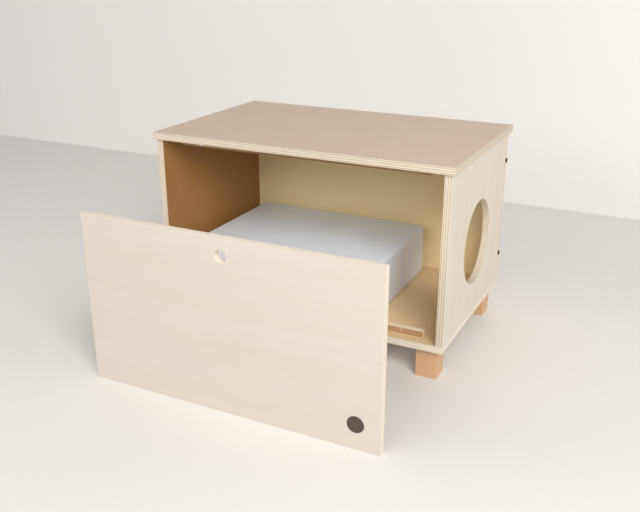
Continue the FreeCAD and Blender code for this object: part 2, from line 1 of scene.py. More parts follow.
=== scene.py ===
# %% [markdown]
# # A plywood cabinet for a cat's litter box
# The real cabinet is a box of birch plywood on four beech legs. A cat walks in through the round hole in its
# right side, and a loose front panel, held by small magnets, comes off for cleaning. Here it stands open,
# with the front panel in front of it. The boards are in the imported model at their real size, so the first
# half of this lesson is about finishes: layered plywood edges, birch veneer, hard film, beech, moulded
# plastic and steel. The second half models the small pieces: the litter tray, screws, bolts and dowels.

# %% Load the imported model
import json
import math

import bmesh
import bpy
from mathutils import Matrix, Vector


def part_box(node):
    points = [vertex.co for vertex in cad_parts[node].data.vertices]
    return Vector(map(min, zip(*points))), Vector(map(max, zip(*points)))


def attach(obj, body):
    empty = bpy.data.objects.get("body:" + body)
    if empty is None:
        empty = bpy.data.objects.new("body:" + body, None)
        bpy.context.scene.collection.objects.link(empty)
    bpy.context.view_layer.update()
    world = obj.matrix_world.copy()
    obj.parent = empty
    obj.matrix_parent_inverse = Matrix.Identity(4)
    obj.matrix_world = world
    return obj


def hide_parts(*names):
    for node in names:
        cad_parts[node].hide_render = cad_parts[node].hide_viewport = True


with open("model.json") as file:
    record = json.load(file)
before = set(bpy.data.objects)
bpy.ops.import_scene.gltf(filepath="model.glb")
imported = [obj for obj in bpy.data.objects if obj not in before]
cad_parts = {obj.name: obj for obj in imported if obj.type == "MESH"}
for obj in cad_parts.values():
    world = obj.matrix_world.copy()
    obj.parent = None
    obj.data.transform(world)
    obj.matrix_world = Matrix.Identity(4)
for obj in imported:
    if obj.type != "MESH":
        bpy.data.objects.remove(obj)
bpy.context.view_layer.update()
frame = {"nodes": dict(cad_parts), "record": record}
boards = frame["nodes"]
MM = 0.001
print("pieces in the model:", len(boards))

# %% [markdown]
# ## The camera
# A photographer stands to the right of the cabinet, a little under a metre up, and looks down on it. The
# camera's place and angles come from the corners of the boards in the picture, whose real sizes are known.
# The lens is written as a focal length in pixels, because that is what such a fit gives, and is turned into
# millimetres on Blender's 36 mm sensor.

# %% Camera
PICTURE_WIDTH = 640
FOCAL_LENGTH_PIXELS = 803.8
SENSOR_WIDTH_MM = 36.0
EYE = Vector((0.9009, -1.7420, 0.9910))
EYE_YAW = math.radians(26.46)
EYE_PITCH = math.radians(21.04)

bpy.ops.object.camera_add(location=EYE, rotation=(math.pi / 2 - EYE_PITCH, 0, EYE_YAW))
camera = bpy.context.object
camera.name = "camera"
camera.data.sensor_width = SENSOR_WIDTH_MM
camera.data.lens = SENSOR_WIDTH_MM * FOCAL_LENGTH_PIXELS / PICTURE_WIDTH
bpy.context.scene.camera = camera
print("lens:", round(camera.data.lens, 2), "mm")

# %% [markdown]
# ## Building finishes from nodes
# A picture of wood could be wrapped round each board. Nodes are used instead, because a pattern that is
# worked out in depth runs on round every edge and into every hole, and never repeats. A few small helpers
# keep the node trees readable: one adds a node, one feeds a socket with a number, a colour or another socket,
# and the rest are the nodes used most often.

# %% Helpers for node trees
def add_node(tree, kind, **settings):
    """A new node of one kind, with its settings."""
    made = tree.nodes.new(kind)
    for name, value in settings.items():
        setattr(made, name, value)
    return made


def feed(tree, socket, source):
    """Link a socket to another one, or write a plain value into it."""
    if isinstance(source, bpy.types.NodeSocket):
        tree.links.new(source, socket)
    else:
        socket.default_value = source


def calculate(tree, operation, first, second=0.0, third=0.0, clamp=False):
    """One sum. The operation is named as in Blender's Math node."""
    made = add_node(tree, "ShaderNodeMath", operation=operation, use_clamp=clamp)
    for socket, source in zip(made.inputs, (first, second, third)):
        feed(tree, socket, source)
    return made.outputs[0]


def stretch(tree, vector, scales):
    """The vector with each of its three parts multiplied by its own number."""
    made = add_node(tree, "ShaderNodeVectorMath", operation="MULTIPLY")
    feed(tree, made.inputs[0], vector)
    feed(tree, made.inputs[1], scales)
    return made.outputs[0]


def noise(tree, vector, scale, detail=2.0, roughness=0.5, distortion=0.0):
    """Cloudy noise from 0 to 1. scale is how many clouds there are to a metre."""
    made = add_node(tree, "ShaderNodeTexNoise")
    feed(tree, made.inputs["Vector"], vector)
    feed(tree, made.inputs["Scale"], scale)
    feed(tree, made.inputs["Detail"], detail)
    feed(tree, made.inputs["Roughness"], roughness)
    feed(tree, made.inputs["Distortion"], distortion)
    return made.outputs[0]


def rise(tree, value, low, high, start=0.0, end=1.0):
    """A soft step: start where the value is under low, end where it is over high."""
    made = add_node(tree, "ShaderNodeMapRange", interpolation_type="SMOOTHSTEP")
    for socket, source in zip(made.inputs, (value, low, high, start, end)):
        feed(tree, socket, source)
    return made.outputs[0]


MIX_SHARE, MIX_FIRST, MIX_SECOND, MIX_RESULT = 0, 6, 7, 2  # a Mix node's sockets when it mixes colours


def mix_colours(tree, share, first, second, blend="MIX"):
    """The first colour where the share is 0, the second where it is 1."""
    made = add_node(tree, "ShaderNodeMix", data_type="RGBA", blend_type=blend)
    feed(tree, made.inputs[MIX_SHARE], share)
    feed(tree, made.inputs[MIX_FIRST], first)
    feed(tree, made.inputs[MIX_SECOND], second)
    return made.outputs[MIX_RESULT]


def colour(red, green, blue):
    """A colour as it looks on a screen, 0 to 255 a channel, turned into the linear light that nodes use."""
    def linear(level):
        share = level / 255
        return share / 12.92 if share <= 0.04045 else ((share + 0.055) / 1.055) ** 2.4
    return (linear(red), linear(green), linear(blue), 1.0)


# %% [markdown]
# An effect that several finishes share becomes a node group. The helper below makes one with named inputs
# and outputs, so that each finish can place it with its own values.

# %% Helpers for node groups
SOCKET_KINDS = {"number": "NodeSocketFloat", "vector": "NodeSocketVector", "colour": "NodeSocketColor"}


def new_group(title, inputs, outputs):
    """An empty group and its two ends. inputs and outputs name each socket and its kind."""
    group = bpy.data.node_groups.new(title, "ShaderNodeTree")
    for name, kind in inputs.items():
        group.interface.new_socket(name, in_out="INPUT", socket_type=SOCKET_KINDS[kind])
    for name, kind in outputs.items():
        group.interface.new_socket(name, in_out="OUTPUT", socket_type=SOCKET_KINDS[kind])
    start = group.nodes.new("NodeGroupInput").outputs
    end = group.nodes.new("NodeGroupOutput").inputs
    return group, start, end


def use_group(tree, group, **values):
    """Place a group in a tree. A space in a socket's name is written as an underscore."""
    made = add_node(tree, "ShaderNodeGroup", node_tree=group)
    for name, source in values.items():
        feed(tree, made.inputs[name.replace("_", " ")], source)
    return made.outputs


# %% [markdown]
# ## Birch veneer
# The outside of a plywood board is a thin sheet peeled from a birch log: cream coloured, almost plain, with
# soft streaks along the grain, hair-fine fibres and tiny darker flecks. Stretching noise along the grain
# gives all of these: the three numbers of a stretch are how many changes there are to a metre along the
# grain, across it and in depth. The group reads a point in that same order, so that it fits a board that lies
# in any direction.

# %% Birch veneer group
GRAIN_WANDER = 0.06  # metres that a grain line strays to the side
STREAK_SHARE = 0.55
FIBRE_SHARE = 0.25
CLOUD_SHARE = 0.30
PORE_DARKNESS = 0.30
veneer_group, start, end = new_group(
    "birch veneer",
    {"Point": "vector", "Pale": "colour", "Tan": "colour"},
    {"Colour": "colour", "Height": "number", "Roughness": "number"})
tree = veneer_group
wander = noise(tree, start["Point"], 2.4, detail=2)
bent = add_node(tree, "ShaderNodeVectorMath", operation="MULTIPLY_ADD")
feed(tree, bent.inputs[0], wander)
bent.inputs[1].default_value = (0, GRAIN_WANDER, 0)
feed(tree, bent.inputs[2], start["Point"])
point = bent.outputs[0]
figure = noise(tree, stretch(tree, point, (1.5, 24, 24)), 1.0, detail=3, distortion=0.5)
fibres = noise(tree, stretch(tree, point, (14, 620, 620)), 1.0, detail=3, roughness=0.6)
clouds = noise(tree, start["Point"], 3.1, detail=2)
pores = rise(tree, noise(tree, stretch(tree, point, (210, 1500, 1500)), 1.0, detail=1), 0.66, 0.76)
fine = calculate(tree, "MULTIPLY", fibres, FIBRE_SHARE)
streaks = calculate(tree, "MULTIPLY_ADD", figure, STREAK_SHARE, fine)
tone = rise(tree, calculate(tree, "MULTIPLY_ADD", clouds, CLOUD_SHARE, streaks), 0.30, 0.80)
wood = mix_colours(tree, tone, start["Pale"], start["Tan"])
darker = calculate(tree, "MULTIPLY", pores, PORE_DARKNESS)
feed(tree, end["Colour"], mix_colours(tree, darker, wood, start["Tan"], blend="MULTIPLY"))
feed(tree, end["Height"], calculate(tree, "SUBTRACT", fibres, pores))
feed(tree, end["Roughness"], rise(tree, figure, 0.2, 0.8, 0.50, 0.60))
print("veneer nodes:", len(tree.nodes))

# %% [markdown]
# ## Plywood edges
# Cut through a board and its layers show: pale ones whose grain runs along the cut, and narrower tan ones cut
# across their grain, with a hair of dark glue between them. The layer is worked out from the depth in
# the board, so a board's four edges, the wall of a hole and the bottom of a drilled seat all come out right.

# %% Plywood edge group
PLY_PAIRS = 3  # tan layers in a board, each with half a pale layer on both its sides
LAYER_WAVES = 0.3 * MM
GLUE_SHARE = 0.45
LAYER_TO_LAYER = 0.04  # how much lighter one layer can be than the next
layers_group, start, end = new_group(
    "plywood layers",
    {"Point": "vector", "Thickness": "number", "Pale": "colour", "Tan": "colour", "Glue": "colour"},
    {"Colour": "colour", "Height": "number"})
tree = layers_group
depth = add_node(tree, "ShaderNodeSeparateXYZ")
feed(tree, depth.inputs[0], start["Point"])
waves = calculate(tree, "SUBTRACT", noise(tree, start["Point"], 19, detail=3), 0.5)
wavy_depth = calculate(tree, "MULTIPLY_ADD", waves, LAYER_WAVES, depth.outputs["Z"])
level = calculate(tree, "ADD", calculate(tree, "DIVIDE", wavy_depth, start["Thickness"]), 0.5)
pair = calculate(tree, "MULTIPLY", level, PLY_PAIRS)
off_middle = calculate(tree, "ABSOLUTE", calculate(tree, "SUBTRACT", calculate(tree, "FRACT", pair), 0.5))
across = rise(tree, off_middle, 0.13, 0.17, 1, 0)
glue_begins = rise(tree, off_middle, 0.12, 0.15)
glue_ends = rise(tree, off_middle, 0.15, 0.18, 1, 0)
glue = calculate(tree, "MULTIPLY", glue_begins, glue_ends)
ply_number = calculate(tree, "FLOOR", calculate(tree, "MULTIPLY", pair, 2))
ply_tone = add_node(tree, "ShaderNodeTexWhiteNoise", noise_dimensions="1D")
feed(tree, ply_tone.inputs["W"], ply_number)
streaks = noise(tree, stretch(tree, start["Point"], (55, 55, 2600)), 1.0, detail=3, roughness=0.6)
dots = noise(tree, start["Point"], 1500, detail=2, roughness=0.7)
grain = mix_colours(tree, across, streaks, dots)
plain = mix_colours(tree, across, start["Pale"], start["Tan"])
fibre_shade = rise(tree, grain, 0.25, 0.75, 0.93, 1.0)
shade = calculate(tree, "MULTIPLY_ADD", ply_tone.outputs["Value"], LAYER_TO_LAYER, fibre_shade)
toned = mix_colours(tree, 1.0, plain, shade, blend="MULTIPLY")
glued = calculate(tree, "MULTIPLY", glue, GLUE_SHARE)
feed(tree, end["Colour"], mix_colours(tree, glued, toned, start["Glue"]))
feed(tree, end["Height"], calculate(tree, "MULTIPLY_ADD", across, -0.5, grain))
print("edge nodes:", len(tree.nodes))

# %% [markdown]
# ## Hard film
# One face of the boards is covered with a hard smooth film, as on shuttering plywood. It is brown on the
# sides. On the top it is taupe, the brown lightened by a painted sheen, and on the floor and the back it is
# sand and honey coloured, lightened and warmed by painted light that stands in for the light bouncing round
# the inside. A plain colour would look like paint, so it gets a fine pebbled skin, a slightly cloudy colour
# and faint rubbed streaks that only show in its gloss.

# %% Film group
SPECK_SHARE = 0.25
film_group, start, end = new_group(
    "brown film",
    {"Point": "vector", "Brown": "colour", "Worn": "colour"},
    {"Colour": "colour", "Height": "number", "Roughness": "number"})
tree = film_group
clouds = noise(tree, start["Point"], 7, detail=4, roughness=0.6)
pebbles = noise(tree, start["Point"], 1100, detail=2)
rubbed = noise(tree, stretch(tree, start["Point"], (5, 90, 90)), 1.0, detail=3, distortion=0.4)
specks = rise(tree, noise(tree, start["Point"], 420, detail=1), 0.70, 0.80)
cloudy = calculate(tree, "MULTIPLY_ADD", specks, SPECK_SHARE, rise(tree, clouds, 0.25, 0.8, 0.0, 0.6))
feed(tree, end["Colour"], mix_colours(tree, cloudy, start["Brown"], start["Worn"]))
feed(tree, end["Height"], pebbles)
feed(tree, end["Roughness"], rise(tree, rubbed, 0.3, 0.7, 0.50, 0.58))
print("film nodes:", len(tree.nodes))

# %% [markdown]
# ## A whole board
# Film, veneer and edges could be three materials on a board's faces. The board group puts them together by
# depth alone instead, so no face has to be picked. Within a tenth of a millimetre of a covered face there is
# film, at a bare face there is veneer, and everything between shows layers. Because the boards' edges are
# slightly rounded, the film stops short of the corner and leaves the thin pale line that film-faced plywood
# has where it is cut.

# %% Board group
GLUE = colour(150, 118, 86)
FILM_DEPTH = (0.06 * MM, 0.12 * MM)  # all film down to the first depth, none from the second
VENEER_DEPTH = (0.10 * MM, 0.30 * MM)
EDGE_ROUGHNESS = 0.66
board_group, start, end = new_group(
    "plywood board",
    {"Point": "vector", "Thickness": "number", "Pale": "colour", "Tan": "colour",
     "Layer pale": "colour", "Layer tan": "colour",
     "Film": "colour", "Film worn": "colour", "Film above": "number", "Film below": "number"},
    {"Colour": "colour", "Height": "number", "Roughness": "number"})
tree = board_group
veneer = use_group(tree, veneer_group, Point=start["Point"], Pale=start["Pale"], Tan=start["Tan"])
layers = use_group(tree, layers_group, Point=start["Point"], Thickness=start["Thickness"],
                   Pale=start["Layer pale"], Tan=start["Layer tan"], Glue=GLUE)
film = use_group(tree, film_group, Point=start["Point"], Brown=start["Film"], Worn=start["Film worn"])
depth = add_node(tree, "ShaderNodeSeparateXYZ")
feed(tree, depth.inputs[0], start["Point"])
half = calculate(tree, "MULTIPLY", start["Thickness"], 0.5)
under_top = calculate(tree, "SUBTRACT", half, depth.outputs["Z"])
over_bottom = calculate(tree, "ADD", half, depth.outputs["Z"])
nearest = calculate(tree, "MINIMUM", under_top, over_bottom)
on_face = rise(tree, nearest, *VENEER_DEPTH, 1, 0)
at_top = rise(tree, under_top, *FILM_DEPTH, 1, 0)
at_bottom = rise(tree, over_bottom, *FILM_DEPTH, 1, 0)
covered = calculate(tree, "MAXIMUM", calculate(tree, "MULTIPLY", at_top, start["Film above"]),
                    calculate(tree, "MULTIPLY", at_bottom, start["Film below"]))
bare = mix_colours(tree, on_face, layers["Colour"], veneer["Colour"])
feed(tree, end["Colour"], mix_colours(tree, covered, bare, film["Colour"]))
bare_height = mix_colours(tree, on_face, layers["Height"], veneer["Height"])
feed(tree, end["Height"], mix_colours(tree, covered, bare_height, film["Height"]))
bare_roughness = rise(tree, on_face, 0, 1, EDGE_ROUGHNESS, veneer["Roughness"])
feed(tree, end["Roughness"], rise(tree, covered, 0, 1, bare_roughness, film["Roughness"]))
print("board nodes:", len(tree.nodes))

# %% [markdown]
# ## A finish for each board
# Each board gets its own copy of the finish, because its layers lie in its own direction and
# its veneer comes from its own sheet. The board's middle, from the model, is the pattern's origin. A finish
# is a pair of close colours that the pattern wanders between. The loose front panel's layers are paler than
# the rest and show little contrast. The bottom panel's and the battens' layers are paler as painted light,
# which offsets the shade that falls on them. The front panel's veneer is a touch darker as painted shade,
# which offsets the strong light on its face.

# %% Plywood finishes
X, Y, Z = 0, 1, 2


def new_material(name):
    """A new material, its node tree and its main shader."""
    material = bpy.data.materials.new(name)
    material.use_nodes = True
    return material, material.node_tree, material.node_tree.nodes["Principled BSDF"]


def local_point(tree, origin, axes):
    """The point from an origin, its parts put in the order along the grain, across it, depth."""
    place = add_node(tree, "ShaderNodeTexCoord").outputs["Object"]
    centred = add_node(tree, "ShaderNodeVectorMath", operation="SUBTRACT")
    feed(tree, centred.inputs[0], place)
    feed(tree, centred.inputs[1], tuple(origin))
    parts = add_node(tree, "ShaderNodeSeparateXYZ")
    feed(tree, parts.inputs[0], centred.outputs[0])
    point = add_node(tree, "ShaderNodeCombineXYZ")
    for socket, axis in zip(point.inputs, axes):
        feed(tree, socket, parts.outputs[axis])
    return point.outputs[0]


def bump(tree, shader, height, distance):
    """Fine relief: distance is how deep it is where the height goes from 0 to 1."""
    made = add_node(tree, "ShaderNodeBump")
    feed(tree, made.inputs["Height"], height)
    made.inputs["Distance"].default_value = distance
    feed(tree, shader.inputs["Normal"], made.outputs[0])


BIRCH = (colour(224, 214, 200), colour(219, 207, 191))
# The front panel's veneer is darker as painted shade, which offsets the strong light that falls on its face.
BIRCH_PAINTED_SHADE = (colour(206, 199, 187), colour(201, 191, 178))
LAYERS = (colour(223, 210, 193), colour(193, 172, 148))
# Paler layers with little contrast: the front panel's edges show little layering, and on the bottom panel
# they are also painted light that offsets the front panel's shadow.
LAYERS_FAINT_AND_PAINTED_LIGHT = (colour(240, 231, 215), colour(219, 208, 190))
# The battens' layers are paler as painted light, which offsets the shade inside the cabinet.
LAYERS_BATTEN_PAINTED_LIGHT = (colour(252, 237, 213), colour(243, 224, 197))
FILM_BROWN = (colour(162, 118, 68), colour(171, 127, 78))
FILM_OAK = (colour(182, 145, 105), colour(190, 154, 115))
# The top's taupe is the brown film lightened by a painted sheen of the bright room.
FILM_TAUPE_PAINTED_SHEEN = (colour(205, 182, 162), colour(209, 187, 168))
# The floor's sand and the back's honey are the film lightened and warmed by painted light, which stands in
# for the light bouncing round the inside.
FILM_SAND_PAINTED_LIGHT = (colour(231, 203, 159), colour(234, 208, 168))
FILM_HONEY_PAINTED_LIGHT = (colour(250, 229, 182), colour(246, 222, 173))
BOARD_SPECULAR = 0.3
BOARD_RELIEF = 0.04 * MM


def plywood(name, grain, depth, film=FILM_BROWN, film_above=False, film_below=False, veneer=BIRCH,
            layers=LAYERS):
    """The finish of one board. grain and depth are the axes that its grain and its thickness lie along."""
    material, tree, shader = new_material(name + "_plywood")
    low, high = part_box(name)
    across = 3 - grain - depth
    point = local_point(tree, (low + high) / 2, (grain, across, depth))
    look = use_group(tree, board_group, Point=point, Thickness=high[depth] - low[depth],
                     Pale=veneer[0], Tan=veneer[1], Layer_pale=layers[0], Layer_tan=layers[1],
                     Film=film[0], Film_worn=film[1],
                     Film_above=float(film_above), Film_below=float(film_below))
    feed(tree, shader.inputs["Base Color"], look["Colour"])
    feed(tree, shader.inputs["Roughness"], look["Roughness"])
    shader.inputs["Specular IOR Level"].default_value = BOARD_SPECULAR
    bump(tree, shader, look["Height"], BOARD_RELIEF)
    boards[name].material_slots[0].material = material


plywood("top_panel", X, Z, FILM_TAUPE_PAINTED_SHEEN, film_above=True)
plywood("bottom_panel", X, Z, FILM_SAND_PAINTED_LIGHT, film_above=True, layers=LAYERS_FAINT_AND_PAINTED_LIGHT)
plywood("left_side_panel", Z, X, film_above=True)
plywood("right_side_panel", Z, X, film_below=True)
plywood("back_panel", X, Y, FILM_HONEY_PAINTED_LIGHT, film_below=True)
plywood("front_panel", X, Y, film_above=True, veneer=BIRCH_PAINTED_SHADE, layers=LAYERS_FAINT_AND_PAINTED_LIGHT)
plywood("upper_batten", X, Y, FILM_OAK, film_below=True, layers=LAYERS_BATTEN_PAINTED_LIGHT)
plywood("lower_batten", X, Y, FILM_OAK, film_below=True, layers=LAYERS_BATTEN_PAINTED_LIGHT)
print("plywood finishes:", len([m for m in bpy.data.materials if m.name.endswith("_plywood")]))

# %% [markdown]
# ## Beech legs
# The legs are solid beech, pinkish brown under oil. A solid block shows growth rings on its end and lines on
# its sides, so the pattern is one of rings in depth: the distance from a pith that lies outside the leg,
# bent by noise. Beech also has short dark flecks along the grain.

# %% Beech group
RING_WIDTH = 3.4 * MM
RING_WANDER = 6 * MM
LATE_WOOD_SHARE = 0.14
BEECH_FIBRE_SHARE = 0.30
BEECH_CLOUD_SHARE = 0.35
FLECK_SHARE = 0.25
beech_group, start, end = new_group(
    "beech",
    {"Point": "vector", "Light": "colour", "Dark": "colour"},
    {"Colour": "colour", "Height": "number", "Roughness": "number"})
tree = beech_group
crooked = noise(tree, stretch(tree, start["Point"], (5, 16, 16)), 1.0, detail=2)
from_pith = add_node(tree, "ShaderNodeVectorMath", operation="LENGTH")
feed(tree, from_pith.inputs[0], stretch(tree, start["Point"], (0, 1, 1)))
ring_place = calculate(tree, "MULTIPLY_ADD", crooked, RING_WANDER, from_pith.outputs["Value"])
ring = calculate(tree, "FRACT", calculate(tree, "DIVIDE", ring_place, RING_WIDTH))
late_wood = calculate(tree, "MULTIPLY", rise(tree, ring, 0.45, 0.92), rise(tree, ring, 0.93, 1.0, 1, 0))
fibres = noise(tree, stretch(tree, start["Point"], (22, 900, 900)), 1.0, detail=3, roughness=0.6)
flecks = rise(tree, noise(tree, stretch(tree, start["Point"], (260, 1300, 1300)), 1.0, detail=1), 0.62, 0.72)
clouds = noise(tree, start["Point"], 16, detail=2)
tone = calculate(tree, "MULTIPLY", fibres, BEECH_FIBRE_SHARE)
tone = calculate(tree, "MULTIPLY_ADD", late_wood, LATE_WOOD_SHARE, tone)
tone = calculate(tree, "MULTIPLY_ADD", clouds, BEECH_CLOUD_SHARE, tone)
tone = calculate(tree, "MULTIPLY_ADD", flecks, FLECK_SHARE, tone, clamp=True)
feed(tree, end["Colour"], mix_colours(tree, tone, start["Light"], start["Dark"]))
feed(tree, end["Height"], calculate(tree, "SUBTRACT", fibres, flecks))
feed(tree, end["Roughness"], rise(tree, fibres, 0.2, 0.8, 0.44, 0.56))
print("beech nodes:", len(tree.nodes))

# %% [markdown]
# The legs were sawn from different places in a tree. Each one's pith therefore lies somewhere else, and no
# two legs show the same rings. The dowels are beech as well and share one finish, as they hardly show.

# %% Beech finishes
BEECH_LIGHT = colour(222, 181, 143)
BEECH_DARK = colour(198, 150, 110)
LEGS = ["front_left_leg", "front_right_leg", "rear_left_leg", "rear_right_leg"]
PITHS = [(-0.031, 0.058), (0.066, 0.020), (0.024, -0.071), (-0.060, -0.035)]  # metres off each leg's middle
DOWEL_PITH = (0.02, 0.03)
BEECH_RELIEF = 0.05 * MM


def beech(name, grain, pith):
    """Solid beech whose grain runs along one axis. The pith is the tree's middle, off the piece's own."""
    material, tree, shader = new_material(name + "_beech")
    low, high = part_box(name)
    others = [axis for axis in (X, Y, Z) if axis != grain]
    origin = (low + high) / 2
    for axis, offset in zip(others, pith):
        origin[axis] += offset
    point = local_point(tree, origin, (grain, *others))
    look = use_group(tree, beech_group, Point=point, Light=BEECH_LIGHT, Dark=BEECH_DARK)
    feed(tree, shader.inputs["Base Color"], look["Colour"])
    feed(tree, shader.inputs["Roughness"], look["Roughness"])
    bump(tree, shader, look["Height"], BEECH_RELIEF)
    boards[name].material_slots[0].material = material
    return material


for name, pith in zip(LEGS, PITHS):
    beech(name, Z, pith)
dowel_beech = beech("side_top_dowels", Z, DOWEL_PITH)
print("beech finishes:", len(LEGS) + 1)

# %% [markdown]
# ## Grey plastic
# The litter tray and its cover are moulded in satin grey plastic. A mould leaves a fine even spark-cut
# texture, and use adds faint scuffs. The texture is too fine to model, so it is a bump, and the scuffs are
# rougher streaks in the gloss. The colour is a pale grey, nearly flat, with the slight cloudiness of a thick
# wall, and a painted cool cast that offsets the warm light bouncing round inside the cabinet.

# %% Plastic finish
plastic, tree, shader = new_material("satin_grey_plastic")
# The blue in these two greys is a painted cool cast, which offsets the warm light bouncing round inside the
# cabinet.
PLASTIC_LIGHT = colour(233, 242, 253)
PLASTIC_DARK = colour(228, 237, 248)
SCUFF_ROUGHNESS = 0.10
SPARK_DEPTH = 0.03 * MM
place = add_node(tree, "ShaderNodeTexCoord").outputs["Object"]
clouds = noise(tree, place, 6, detail=3)
sparks = noise(tree, place, 1500, detail=2, roughness=0.6)
smears = noise(tree, stretch(tree, place, (14, 160, 30)), 1.0, detail=4, distortion=1.2)
scuffs = rise(tree, smears, 0.60, 0.75)
cloudy = rise(tree, clouds, 0.3, 0.7)
feed(tree, shader.inputs["Base Color"], mix_colours(tree, cloudy, PLASTIC_LIGHT, PLASTIC_DARK))
satin = rise(tree, clouds, 0.3, 0.7, 0.42, 0.48)
feed(tree, shader.inputs["Roughness"], calculate(tree, "MULTIPLY_ADD", scuffs, SCUFF_ROUGHNESS, satin))
bump(tree, shader, sparks, SPARK_DEPTH)
print("plastic nodes:", len(tree.nodes))

# %% [markdown]
# ## Metal and badge
# The strike discs, wood screws and legs' fixings are bright plated steel. The catch magnets are plated steel
# made brighter still, a painted highlight that makes them show as bright dots, the two pairs of bolts are
# blackened steel, and the badge is a plain dark disc. They differ only in
# colour, gloss and fineness of grain, so one function makes all four.

# %% Steel and badge finishes
def small_part(title, first, second, metallic, smooth, rough, grain_scale, depth):
    """A finish for a small part: two close colours and a gloss that both vary with fine noise."""
    material, tree, shader = new_material(title)
    place = add_node(tree, "ShaderNodeTexCoord").outputs["Object"]
    blotches = noise(tree, place, 190, detail=3)
    fine = noise(tree, place, grain_scale, detail=2)
    feed(tree, shader.inputs["Base Color"], mix_colours(tree, rise(tree, blotches, 0.3, 0.7), first, second))
    feed(tree, shader.inputs["Roughness"], rise(tree, fine, 0.25, 0.75, smooth, rough))
    shader.inputs["Metallic"].default_value = metallic
    bump(tree, shader, fine, depth)
    return material


bright_steel = small_part(
    "bright_plated_steel", colour(214, 214, 212), colour(196, 197, 198),
    metallic=1.0, smooth=0.22, rough=0.36, grain_scale=2600, depth=0.01 * MM)
# The magnets' paler colour is a painted highlight.
magnet_plating_painted_highlight = small_part(
    "magnet_plating_painted_highlight", colour(238, 238, 236), colour(226, 227, 228),
    metallic=0.9, smooth=0.16, rough=0.26, grain_scale=2600, depth=0.01 * MM)
black_steel = small_part(
    "blackened_steel", colour(22, 21, 21), colour(14, 14, 15),
    metallic=0.3, smooth=0.40, rough=0.54, grain_scale=2600, depth=0.02 * MM)
badge_finish = small_part(
    "dark_badge_print", colour(78, 64, 52), colour(71, 58, 47),
    metallic=0.0, smooth=0.42, rough=0.52, grain_scale=2200, depth=0.01 * MM)
print("small finishes:", [made.name for made in (bright_steel, magnet_plating_painted_highlight, black_steel, badge_finish)])

# %% [markdown]
# ## Modelling: the first helpers
# The boards and legs are right as they are. The smaller pieces are modelled here, each in the place of its
# plain stand-in. The helpers below do what one does by hand: clear the selection, pick faces or edges by
# where they are, apply a modifier, and hand the finished piece over to the body that it moves with.

# %% Helpers for modelling
BODY_OF = {node: body for body, members in frame["record"]["behaviour"]["bodies"].items()
           for node in members}
SMOOTH_UNDER = math.radians(35)  # faces that meet at a smaller angle are shaded as one smooth surface


def choose(piece, kind, wanted):
    """In edit mode, select only the faces or edges that wanted says yes to."""
    bpy.ops.mesh.select_mode(type=kind)
    bpy.ops.mesh.select_all(action="DESELECT")
    mesh = bmesh.from_edit_mesh(piece.data)
    found = [part for part in (mesh.faces if kind == "FACE" else mesh.edges) if wanted(part)]
    for part in found:
        part.select_set(True)
    bmesh.update_edit_mesh(piece.data)


def only(piece):
    """Select one object and make it the active one."""
    bpy.ops.object.select_all(action="DESELECT")
    piece.select_set(True)
    bpy.context.view_layer.objects.active = piece


def settle(piece):
    """Move a piece's place, turn and scale into its mesh."""
    only(piece)
    bpy.ops.object.transform_apply(location=True, rotation=True, scale=True)


def modify(piece, kind, **settings):
    """Add a modifier, set it and apply it."""
    only(piece)
    modifier = piece.modifiers.new(kind.lower(), kind)
    for name, value in settings.items():
        setattr(modifier, name, value)
    bpy.ops.object.modifier_apply(modifier=modifier.name)


def join(pieces):
    """One object from several."""
    bpy.ops.object.select_all(action="DESELECT")
    for piece in pieces:
        piece.select_set(True)
    bpy.context.view_layer.objects.active = pieces[0]
    bpy.ops.object.join()
    return pieces[0]


def hand_over(piece, title, node, finish):
    """Name and finish a piece that stands for one of the model's nodes. It moves with that node's body."""
    only(piece)
    bpy.ops.object.shade_smooth_by_angle(angle=SMOOTH_UNDER)
    piece.name = title
    piece.data.name = title
    piece.data.materials.clear()
    piece.data.materials.append(finish)
    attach(piece, BODY_OF[node])
    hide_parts(node)
    print(title, "faces:", len(piece.data.polygons))


# %% [markdown]
# ## The litter tray and its cover
# Both are moulded boxes with round corners and one even wall. The hollow could be cut with a second, smaller
# block, but every radius of that block would have to be worked out to keep the wall even. So only the outside
# is shaped, and Solidify gives the wall. The outside starts as a cube. Its upright edges are bevelled to the
# corner radius, the open face is taken away, and the edges round the closed face are bevelled to their own
# radius. The closed end is made a hair narrower, as on any moulded box, so that it lets go of its mould. The
# rim's edges are rounded last.

# %% Moulded shell
WALL = 2.5 * MM
DRAFT = 1.2 * MM  # how much narrower the closed end is, on each side
RIM_ROUNDING = 0.8 * MM
CORNER_STEPS = 12
EDGE_STEPS = 8
RIM_STEPS = 3
SAME_HEIGHT = 0.01 * MM  # two heights this close count as one


